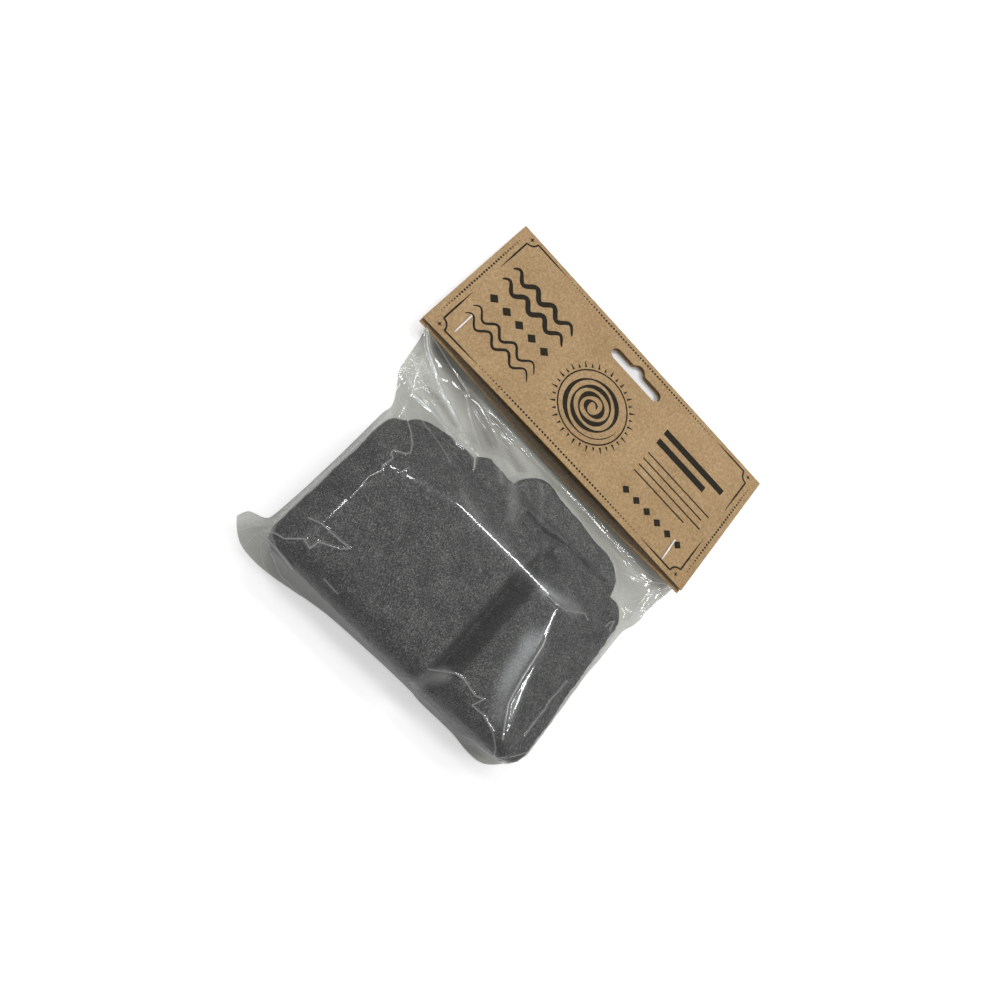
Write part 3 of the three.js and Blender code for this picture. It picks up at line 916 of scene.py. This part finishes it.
def slot_punch():
    """The slot's outline as a block: a long round-ended slot joined to a round hump."""
    punch = bmesh.new()
    end = SLOT_HEIGHT / 2
    run = SLOT_LENGTH / 2 - end
    fillet_y = end + SLOT_HUMP_FILLET
    fillet_x = math.sqrt((SLOT_HUMP_RADIUS + SLOT_HUMP_FILLET) ** 2 - (fillet_y - SLOT_HUMP_RISE) ** 2)
    touch = math.atan2(fillet_y - SLOT_HUMP_RISE, fillet_x)
    arcs = (
        ((run, 0.0), end, -math.pi / 2, math.pi / 2),
        ((fillet_x, fillet_y), SLOT_HUMP_FILLET, -math.pi / 2, touch - math.pi),
        ((0.0, SLOT_HUMP_RISE), SLOT_HUMP_RADIUS, touch, math.pi - touch),
        ((-fillet_x, fillet_y), SLOT_HUMP_FILLET, -touch, -math.pi / 2),
        ((-run, 0.0), end, math.pi / 2, 1.5 * math.pi),
    )
    outline = []
    for (x, y), radius, start, stop in arcs:
        for i in range(SLOT_STEPS + 1):
            angle = start + (stop - start) * i / SLOT_STEPS
            across = SLOT_OFFSET + x + radius * math.cos(angle)
            down = SLOT_FROM_FOLD - CARD_FOLD_RADIUS - y - radius * math.sin(angle)
            outline.append(punch.verts.new(card_point(across, down, -SLOT_PUNCH_HALF)))
    bmesh.ops.remove_doubles(punch, verts=punch.verts, dist=1e-6)
    base = punch.faces.new([v for v in outline if v.is_valid])
    top = bmesh.ops.extrude_face_region(punch, geom=[base])["geom"]
    up = card_turn @ Vector((0.0, 0.0, 2 * SLOT_PUNCH_HALF * MM))
    bmesh.ops.translate(punch, vec=up, verts=[v for v in top if isinstance(v, bmesh.types.BMVert)])
    bmesh.ops.recalc_face_normals(punch, faces=punch.faces)
    return mesh_from("slot_punch", punch)


punch_object = bpy.data.objects.new("slot_punch", slot_punch())
scene.collection.objects.link(punch_object)
card_mesh = finished(
    "header_card_board", card_strip(),
    ("SOLIDIFY", {"thickness": CARD_BOARD * MM, "offset": 0.0}),
    ("BOOLEAN", {"operation": "DIFFERENCE", "solver": "EXACT", "object": punch_object}),
)
bpy.data.objects.remove(punch_object)


def kraft_material():
    material, nodes, links, shader = new_material("kraft_board")
    place = nodes.new("ShaderNodeTexCoord").outputs["Object"]
    fibres = streak_node(nodes, links, place, 1100.0, 700.0)
    mottle = noise_node(nodes, links, place, 55.0, 6.0)
    mixed = math_node(nodes, links, "MULTIPLY_ADD", mottle, 0.3, fibres)
    tone = ramp_node(nodes, links, mixed, (
        (0.45, (0.295, 0.181, 0.081)),
        (0.65, (0.398, 0.260, 0.127)),
        (0.85, (0.508, 0.354, 0.193)),
    ))
    links.new(tone, shader.inputs["Base Color"])
    shader.inputs["Roughness"].default_value = 0.85
    links.new(bump_node(nodes, links, fibres, 0.25, 0.0002), shader.inputs["Normal"])
    return material


header_card = add_piece("header_card_board", card_mesh, kraft_material())
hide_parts("header_card")

# Card print: one dark ink on the front leaf, a dotted border with corner frames round a coil emblem,
# waves, diamonds and plain rules. It is a skin of ink that lies on the board and bows with it.
INK_LIFT = 0.03
INK_DEPTH = 0.02
DOT_PITCH = 1.7
DOT_INSET = 3.1
DOT_RADII = (0.28, 0.56)
DOT_SWELL = 4
DOT_SIDES = 8
DOT_SPAN_X = (-51, 49)
DOT_SPAN_T = (9, 64)
FRAME_INSETS = (6.2, 2.9)
FRAME_ARM = 20.0
FRAME_ARM_TIP = 0.15
FRAME_ARM_TAPER = 1.7
FRAME_ARM_STEPS = 6
FRAME_NOTCH = 4.0
FRAME_NOTCH_STEPS = 10
FRAME_LINE = 0.85
FRAME_STAR = 1.3
FRAME_STAR_INSET = 0.6
FRAME_STAR_WIDTHS = (0.15, 0.8, 0.15)
EMBLEM_PLACE = (-3.0, 31.5)
EMBLEM_RADII = (1.5, 15.5)
EMBLEM_TURNS = 4.0
EMBLEM_STEPS = 480
EMBLEM_BAND = 1.5
EMBLEM_SWELL = 0.8
EMBLEM_SWELL_RATE = 2.3
EMBLEM_TAPER = 12
EMBLEM_TIP = 0.12
EMBLEM_RING = 17.8
EMBLEM_RING_LINE = 0.7
EMBLEM_RING_STEPS = 96
EMBLEM_RAYS = 36
EMBLEM_RAY_START = 1.2
EMBLEM_RAY_ENDS = (4.2, 3.2)
EMBLEM_RAY_WIDTHS = (1.1, 0.25)
WAVE_LENGTH = 11.0
WAVE_RISE = 2.2
WAVE_SPAN = (-72, -32)
WAVE_TIP = 0.25
WAVE_STEPS = 60
WAVES = (
    # place above the free edge, width
    (51, 2.6), (43, 2.6), (22, 1.4), (16.5, 1.4),
)
RULE_START = 30
RULE_STEPS = 8
RULES = (
    # end, place above the free edge, width
    (70, 52, 3.4), (62, 45.5, 3.4), (72, 37, 0.7), (70, 33, 0.7), (72, 29, 0.7), (64, 25, 0.7),
)
DIAMONDS = (
    # first middle, pitch, count, place above the free edge, size
    (-68, 8, 5, 32.5, 5.2),
    (33, 7, 6, 14.5, 4.4),
)
DIAMOND_TIP = 0.1

ink = bmesh.new()


def ink_ribbon(points, widths):
    """A band of ink along points of the front leaf, each with its own width."""
    edges = []
    for i, (x, t) in enumerate(points):
        x0, t0 = points[max(0, i - 1)]
        x1, t1 = points[min(len(points) - 1, i + 1)]
        away = Vector((t0 - t1, x1 - x0)).normalized() * widths[i] / 2
        edges.append([ink.verts.new(on_front(x + k * away.x, t + k * away.y, INK_LIFT)) for k in (-1, 1)])
    for (a, b), (c, d) in zip(edges, edges[1:]):
        ink.faces.new((a, c, d, b))


def ink_dot(x, t, radius):
    turns = [math.tau * i / DOT_SIDES for i in range(DOT_SIDES)]
    ink.faces.new([ink.verts.new(on_front(x + radius * math.cos(a), t + radius * math.sin(a), INK_LIFT))
                   for a in turns])


def dot_row(start, end):
    """A row of dots that grow towards its middle."""
    run = math.dist(start, end)
    count = round(run / DOT_PITCH)
    for i in range(count + 1):
        share = i / count
        swell = min(1.0, DOT_SWELL * min(share, 1 - share))
        radius = DOT_RADII[0] + (DOT_RADII[1] - DOT_RADII[0]) * swell
        ink_dot(start[0] + (end[0] - start[0]) * share, start[1] + (end[1] - start[1]) * share, radius)


def corner_frame(side, low):
    """Two tapering arms, the notch between them and a small star, in one corner of the border."""
    def place(from_side, from_end):
        return side * (card_half - from_side), from_end if low else CARD_FRONT - from_end

    inset_x, inset_t = FRAME_INSETS
    arms = [i / FRAME_ARM_STEPS for i in range(FRAME_ARM_STEPS + 1)]
    taper = [FRAME_LINE * min(1.0, FRAME_ARM_TIP + FRAME_ARM_TAPER * (1 - i)) for i in arms]
    ink_ribbon([place(inset_x, inset_t + FRAME_NOTCH + FRAME_ARM * i) for i in arms], taper)
    ink_ribbon([place(inset_x + FRAME_NOTCH + FRAME_ARM * i, inset_t) for i in arms], taper)
    turns = [math.pi / 2 * i / FRAME_NOTCH_STEPS for i in range(FRAME_NOTCH_STEPS + 1)]
    notch = [place(inset_x + FRAME_NOTCH * math.sin(a), inset_t + FRAME_NOTCH * math.cos(a)) for a in turns]
    ink_ribbon(notch, [FRAME_LINE] * len(notch))
    x, t = place(inset_x + FRAME_STAR_INSET, inset_t + FRAME_STAR_INSET)
    ink_ribbon([(x - FRAME_STAR, t), (x, t), (x + FRAME_STAR, t)], FRAME_STAR_WIDTHS)
    ink_ribbon([(x, t - FRAME_STAR), (x, t), (x, t + FRAME_STAR)], FRAME_STAR_WIDTHS)


def round_emblem(radius, angle):
    """A place on the card at a radius and an angle from the emblem's middle."""
    return EMBLEM_PLACE[0] + radius * math.cos(angle), EMBLEM_PLACE[1] + radius * math.sin(angle)


card_half = CARD_WIDTH / 2
for t in (DOT_INSET, CARD_FRONT - DOT_INSET):
    dot_row((DOT_SPAN_X[0], t), (DOT_SPAN_X[1], t))
for x in (DOT_INSET - card_half, card_half - DOT_INSET):
    dot_row((x, DOT_SPAN_T[0]), (x, DOT_SPAN_T[1]))
for side in (-1, 1):
    for low in (True, False):
        corner_frame(side, low)

coil_places, coil_widths = [], []
for i in range(EMBLEM_STEPS + 1):
    share = i / EMBLEM_STEPS
    angle = math.tau * EMBLEM_TURNS * share
    coil_places.append(round_emblem(EMBLEM_RADII[0] + (EMBLEM_RADII[1] - EMBLEM_RADII[0]) * share, angle))
    band = EMBLEM_BAND + EMBLEM_SWELL * math.sin(EMBLEM_SWELL_RATE * angle)
    coil_widths.append(band * min(1.0, EMBLEM_TAPER * share, EMBLEM_TAPER * (1 - share)) + EMBLEM_TIP)
ink_ribbon(coil_places, coil_widths)
ring = [round_emblem(EMBLEM_RING, math.tau * i / EMBLEM_RING_STEPS) for i in range(EMBLEM_RING_STEPS + 1)]
ink_ribbon(ring, [EMBLEM_RING_LINE] * len(ring))
for i in range(EMBLEM_RAYS):
    reach = (EMBLEM_RING + EMBLEM_RAY_START, EMBLEM_RING + EMBLEM_RAY_ENDS[i % 2])
    ink_ribbon([round_emblem(radius, math.tau * i / EMBLEM_RAYS) for radius in reach], EMBLEM_RAY_WIDTHS)

wave_run = WAVE_SPAN[1] - WAVE_SPAN[0]
wave_shares = [i / WAVE_STEPS for i in range(WAVE_STEPS + 1)]
for t, width in WAVES:
    ink_ribbon(
        [(WAVE_SPAN[0] + wave_run * i, t + WAVE_RISE * math.sin(math.tau * wave_run * i / WAVE_LENGTH))
         for i in wave_shares],
        [width * (WAVE_TIP + (1 - WAVE_TIP) * math.sin(math.pi * i) ** 0.5) for i in wave_shares])
for end, t, width in RULES:
    rule = [(RULE_START + (end - RULE_START) * i / RULE_STEPS, t) for i in range(RULE_STEPS + 1)]
    ink_ribbon(rule, [width] * len(rule))
for first, pitch, count, t, size in DIAMONDS:
    for i in range(count):
        x = first + pitch * i
        ink_ribbon([(x - size / 2, t), (x, t), (x + size / 2, t)], [DIAMOND_TIP, size, DIAMOND_TIP])
bmesh.ops.recalc_face_normals(ink, faces=ink.faces)
for face in ink.faces:
    if face.normal.z < 0:
        face.normal_flip()
print_mesh = finished(
    "card_print", mesh_from("card_print", ink),
    ("SOLIDIFY", {"thickness": INK_DEPTH * MM, "offset": 1.0}),
)


def ink_material():
    material, nodes, links, shader = new_material("card_ink")
    place = nodes.new("ShaderNodeTexCoord").outputs["Object"]
    fibres = streak_node(nodes, links, place, 1500.0, 900.0)
    tone = ramp_node(nodes, links, fibres, (
        (0.45, (0.018, 0.015, 0.009)),
        (0.62, (0.026, 0.021, 0.013)),
        (0.75, (0.09, 0.064, 0.035)),
    ))
    links.new(tone, shader.inputs["Base Color"])
    shader.inputs["Roughness"].default_value = 0.8
    shader.inputs["Specular IOR Level"].default_value = 0.2
    return material


add_piece("card_print", print_mesh, ink_material())

# Staples: two bent lengths of bright wire. The crown of each lies on the front leaf, its legs go through
# both leaves and the film, and their ends are clinched inwards behind.
STAPLE_CROWN = 12.4
STAPLE_CLINCH = 4.5
STAPLE_RADIUS = 0.4
STAPLE_BEND = 0.5
STAPLE_END_DIP = 0.1
STAPLES = (
    # name, node, sideways from the middle, above the free edge, turn
    ("staple_wire_left", "staple_left", -69.0, 12.1, 0.5),
    ("staple_wire_right", "staple_right", 65.8, 9.6, 3.0),
)


def staple_mesh(name, side, from_edge, turn):
    wire = bpy.data.curves.new(name, "CURVE")
    wire.dimensions = "3D"
    wire.bevel_depth = STAPLE_RADIUS * MM
    wire.bevel_resolution = 2
    wire.use_fill_caps = True
    half = STAPLE_CROWN / 2 - STAPLE_RADIUS
    top = CARD_FOLD_RADIUS + STAPLE_RADIUS
    bottom = -top
    route = [(half - STAPLE_CLINCH, bottom - STAPLE_END_DIP), (half - STAPLE_BEND, bottom),
             (half, bottom + STAPLE_BEND), (half, top - STAPLE_BEND), (half - STAPLE_BEND, top)]
    route += [(-y, z) for y, z in reversed(route)]
    spline = wire.splines.new("POLY")
    spline.points.add(len(route) - 1)
    lean = math.radians(turn)
    for point, (y, z) in zip(spline.points, route):
        x, from_free = side - y * math.sin(lean), from_edge + y * math.cos(lean)
        down = CARD_FRONT - CARD_FOLD_RADIUS - from_free
        lift = bow(x, down) if z > 0 else -sag(x, down)
        point.co = (*card_point(x, down, z + lift), 1.0)
    holder = bpy.data.objects.new(name, wire)
    scene.collection.objects.link(holder)
    mesh = finished(name, bpy.data.meshes.new_from_object(holder), CLOSED_CAPS)
    bpy.data.objects.remove(holder)
    for face in mesh.polygons:
        face.use_smooth = True
    return mesh


def staple_material():
    material, nodes, links, shader = new_material("staple_wire")
    place = nodes.new("ShaderNodeTexCoord").outputs["Object"]
    drawn = streak_node(nodes, links, place, 3000.0, 300.0)
    tone = ramp_node(nodes, links, drawn, ((0.3, (0.80, 0.80, 0.79)), (0.7, (0.97, 0.97, 0.96))))
    links.new(tone, shader.inputs["Base Color"])
    shader.inputs["Metallic"].default_value = 0.1
    shader.inputs["Roughness"].default_value = 0.3
    return material


staple_finish = staple_material()
for name, node, *place in STAPLES:
    staple = add_piece(name, staple_mesh(name, *place), staple_finish)
    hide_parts(node)

# Table: a plain white top that fades into a white surround but keeps the pack's soft shadow.
# It glows only where the eye sees it bare: neither through the film nor in the hang slot.
TABLE_SIZE = 3.0
TABLE_COLOUR = (0.86, 0.86, 0.86, 1.0)
SHADE_PLACE = (0.002, 0.083, 0.0)
SHADE_SIZE = (0.019, 0.0095, 0.0095)
TABLE_GLOW = 0.42

table = bmesh.new()
bmesh.ops.create_grid(table, x_segments=1, y_segments=1, size=TABLE_SIZE)
table_top = bpy.data.objects.new("table_top", mesh_from("table_top", table))
scene.collection.objects.link(table_top)
table_paint, nodes, links, shader = new_material("white_table")
shader.inputs["Base Color"].default_value = TABLE_COLOUR
shader.inputs["Roughness"].default_value = 0.9
shader.inputs["Emission Color"].default_value = (1.0, 1.0, 1.0, 1.0)
ray = nodes.new("ShaderNodeLightPath")
coords = nodes.new("ShaderNodeTexCoord")
nearby = nodes.new("ShaderNodeMapping")
nearby.vector_type = "TEXTURE"
nearby.inputs["Location"].default_value = SHADE_PLACE
nearby.inputs["Scale"].default_value = SHADE_SIZE
links.new(coords.outputs["Object"], nearby.inputs["Vector"])
reach = nodes.new("ShaderNodeVectorMath")
reach.operation = "LENGTH"
links.new(nearby.outputs["Vector"], reach.inputs[0])
open_table = math_node(nodes, links, "GREATER_THAN", reach.outputs["Value"], 1.0)
bare = math_node(nodes, links, "LESS_THAN", ray.outputs["Transparent Depth"], 0.5)
seen = math_node(nodes, links, "MULTIPLY", ray.outputs["Is Camera Ray"], bare)
glow = math_node(nodes, links, "MULTIPLY", seen, TABLE_GLOW)
masked = math_node(nodes, links, "MULTIPLY", glow, open_table)
links.new(masked, shader.inputs["Emission Strength"])
table_top.data.materials.append(table_paint)

# Light: five small soft boxes behind the card and to both sides, which draw the bright lines on the film,
# and a pale surround that is a little darker overhead.
LIGHT_AIM = Vector((0.0, -0.02, 0.02))
SOFT_BOXES = (
    # name, direction from the pack, distance, width, height, watts
    ("box_behind_card", (0.18, 0.617, 0.776), 0.9, 0.30, 0.07, 1.6),
    ("box_right", (0.56, 0.28, 0.775), 0.9, 0.22, 0.08, 1.4),
    ("box_left", (-0.477, 0.263, 0.839), 0.9, 0.20, 0.16, 1.7),
    ("box_far_right", (0.48, 0.52, 0.707), 0.9, 0.10, 0.10, 0.6),
    ("box_far_left", (-0.16, 0.56, 0.81), 0.9, 0.10, 0.10, 0.6),
)
SURROUND_LOW = 0.5
SURROUND_HIGH = 0.36
SURROUND_TOP = 0.75

for name, direction, distance, width, height, watts in SOFT_BOXES:
    lamp = bpy.data.lights.new(name, "AREA")
    lamp.shape = "RECTANGLE"
    lamp.size, lamp.size_y = width, height
    lamp.energy = watts
    box = bpy.data.objects.new(name, lamp)
    scene.collection.objects.link(box)
    away = Vector(direction).normalized()
    box.location = LIGHT_AIM + away * distance
    box.rotation_euler = (-away).to_track_quat("-Z", "Y").to_euler()
world = bpy.data.worlds.new("surround")
world.use_nodes = True
scene.world = world
nodes, links = world.node_tree.nodes, world.node_tree.links
background = nodes["Background"]
background.inputs["Color"].default_value = (1.0, 1.0, 1.0, 1.0)
aim = nodes.new("ShaderNodeTexCoord")
split = nodes.new("ShaderNodeSeparateXYZ")
links.new(aim.outputs["Generated"], split.inputs["Vector"])
dome = nodes.new("ShaderNodeMapRange")
dome.inputs["From Max"].default_value = SURROUND_TOP
dome.inputs["To Min"].default_value = SURROUND_LOW
dome.inputs["To Max"].default_value = SURROUND_HIGH
links.new(split.outputs["Z"], dome.inputs["Value"])
ray = nodes.new("ShaderNodeLightPath")
level = nodes.new("ShaderNodeMapRange")
level.inputs["To Max"].default_value = 1.0
links.new(dome.outputs["Result"], level.inputs["To Min"])
links.new(ray.outputs["Is Camera Ray"], level.inputs["Value"])
links.new(level.outputs["Result"], background.inputs["Strength"])

# Camera: above the bag's lower left corner, looking down and turned so that the card runs
# to the lower right of the picture.
CAMERA_PLACE = Vector((-0.0500, -0.1314, 0.3424))
CAMERA_AIM = Vector((-0.00376, -0.00687, 0.0))
CAMERA_UP = math.radians(133.2)
CAMERA_LENS = 30.6

camera_data = bpy.data.cameras.new("photo_camera")
camera_data.sensor_width = 36.0
camera_data.lens = CAMERA_LENS
camera_data.clip_start = 0.01
camera = bpy.data.objects.new("photo_camera", camera_data)
scene.collection.objects.link(camera)
look = (CAMERA_AIM - CAMERA_PLACE).normalized()
up = Vector((math.cos(CAMERA_UP), math.sin(CAMERA_UP), 0.0))
up = (up - look * up.dot(look)).normalized()
turn = Matrix((look.cross(up), up, -look)).transposed()
camera.matrix_world = Matrix.Translation(CAMERA_PLACE) @ turn.to_4x4()
scene.camera = camera
scene.view_settings.view_transform = "Standard"
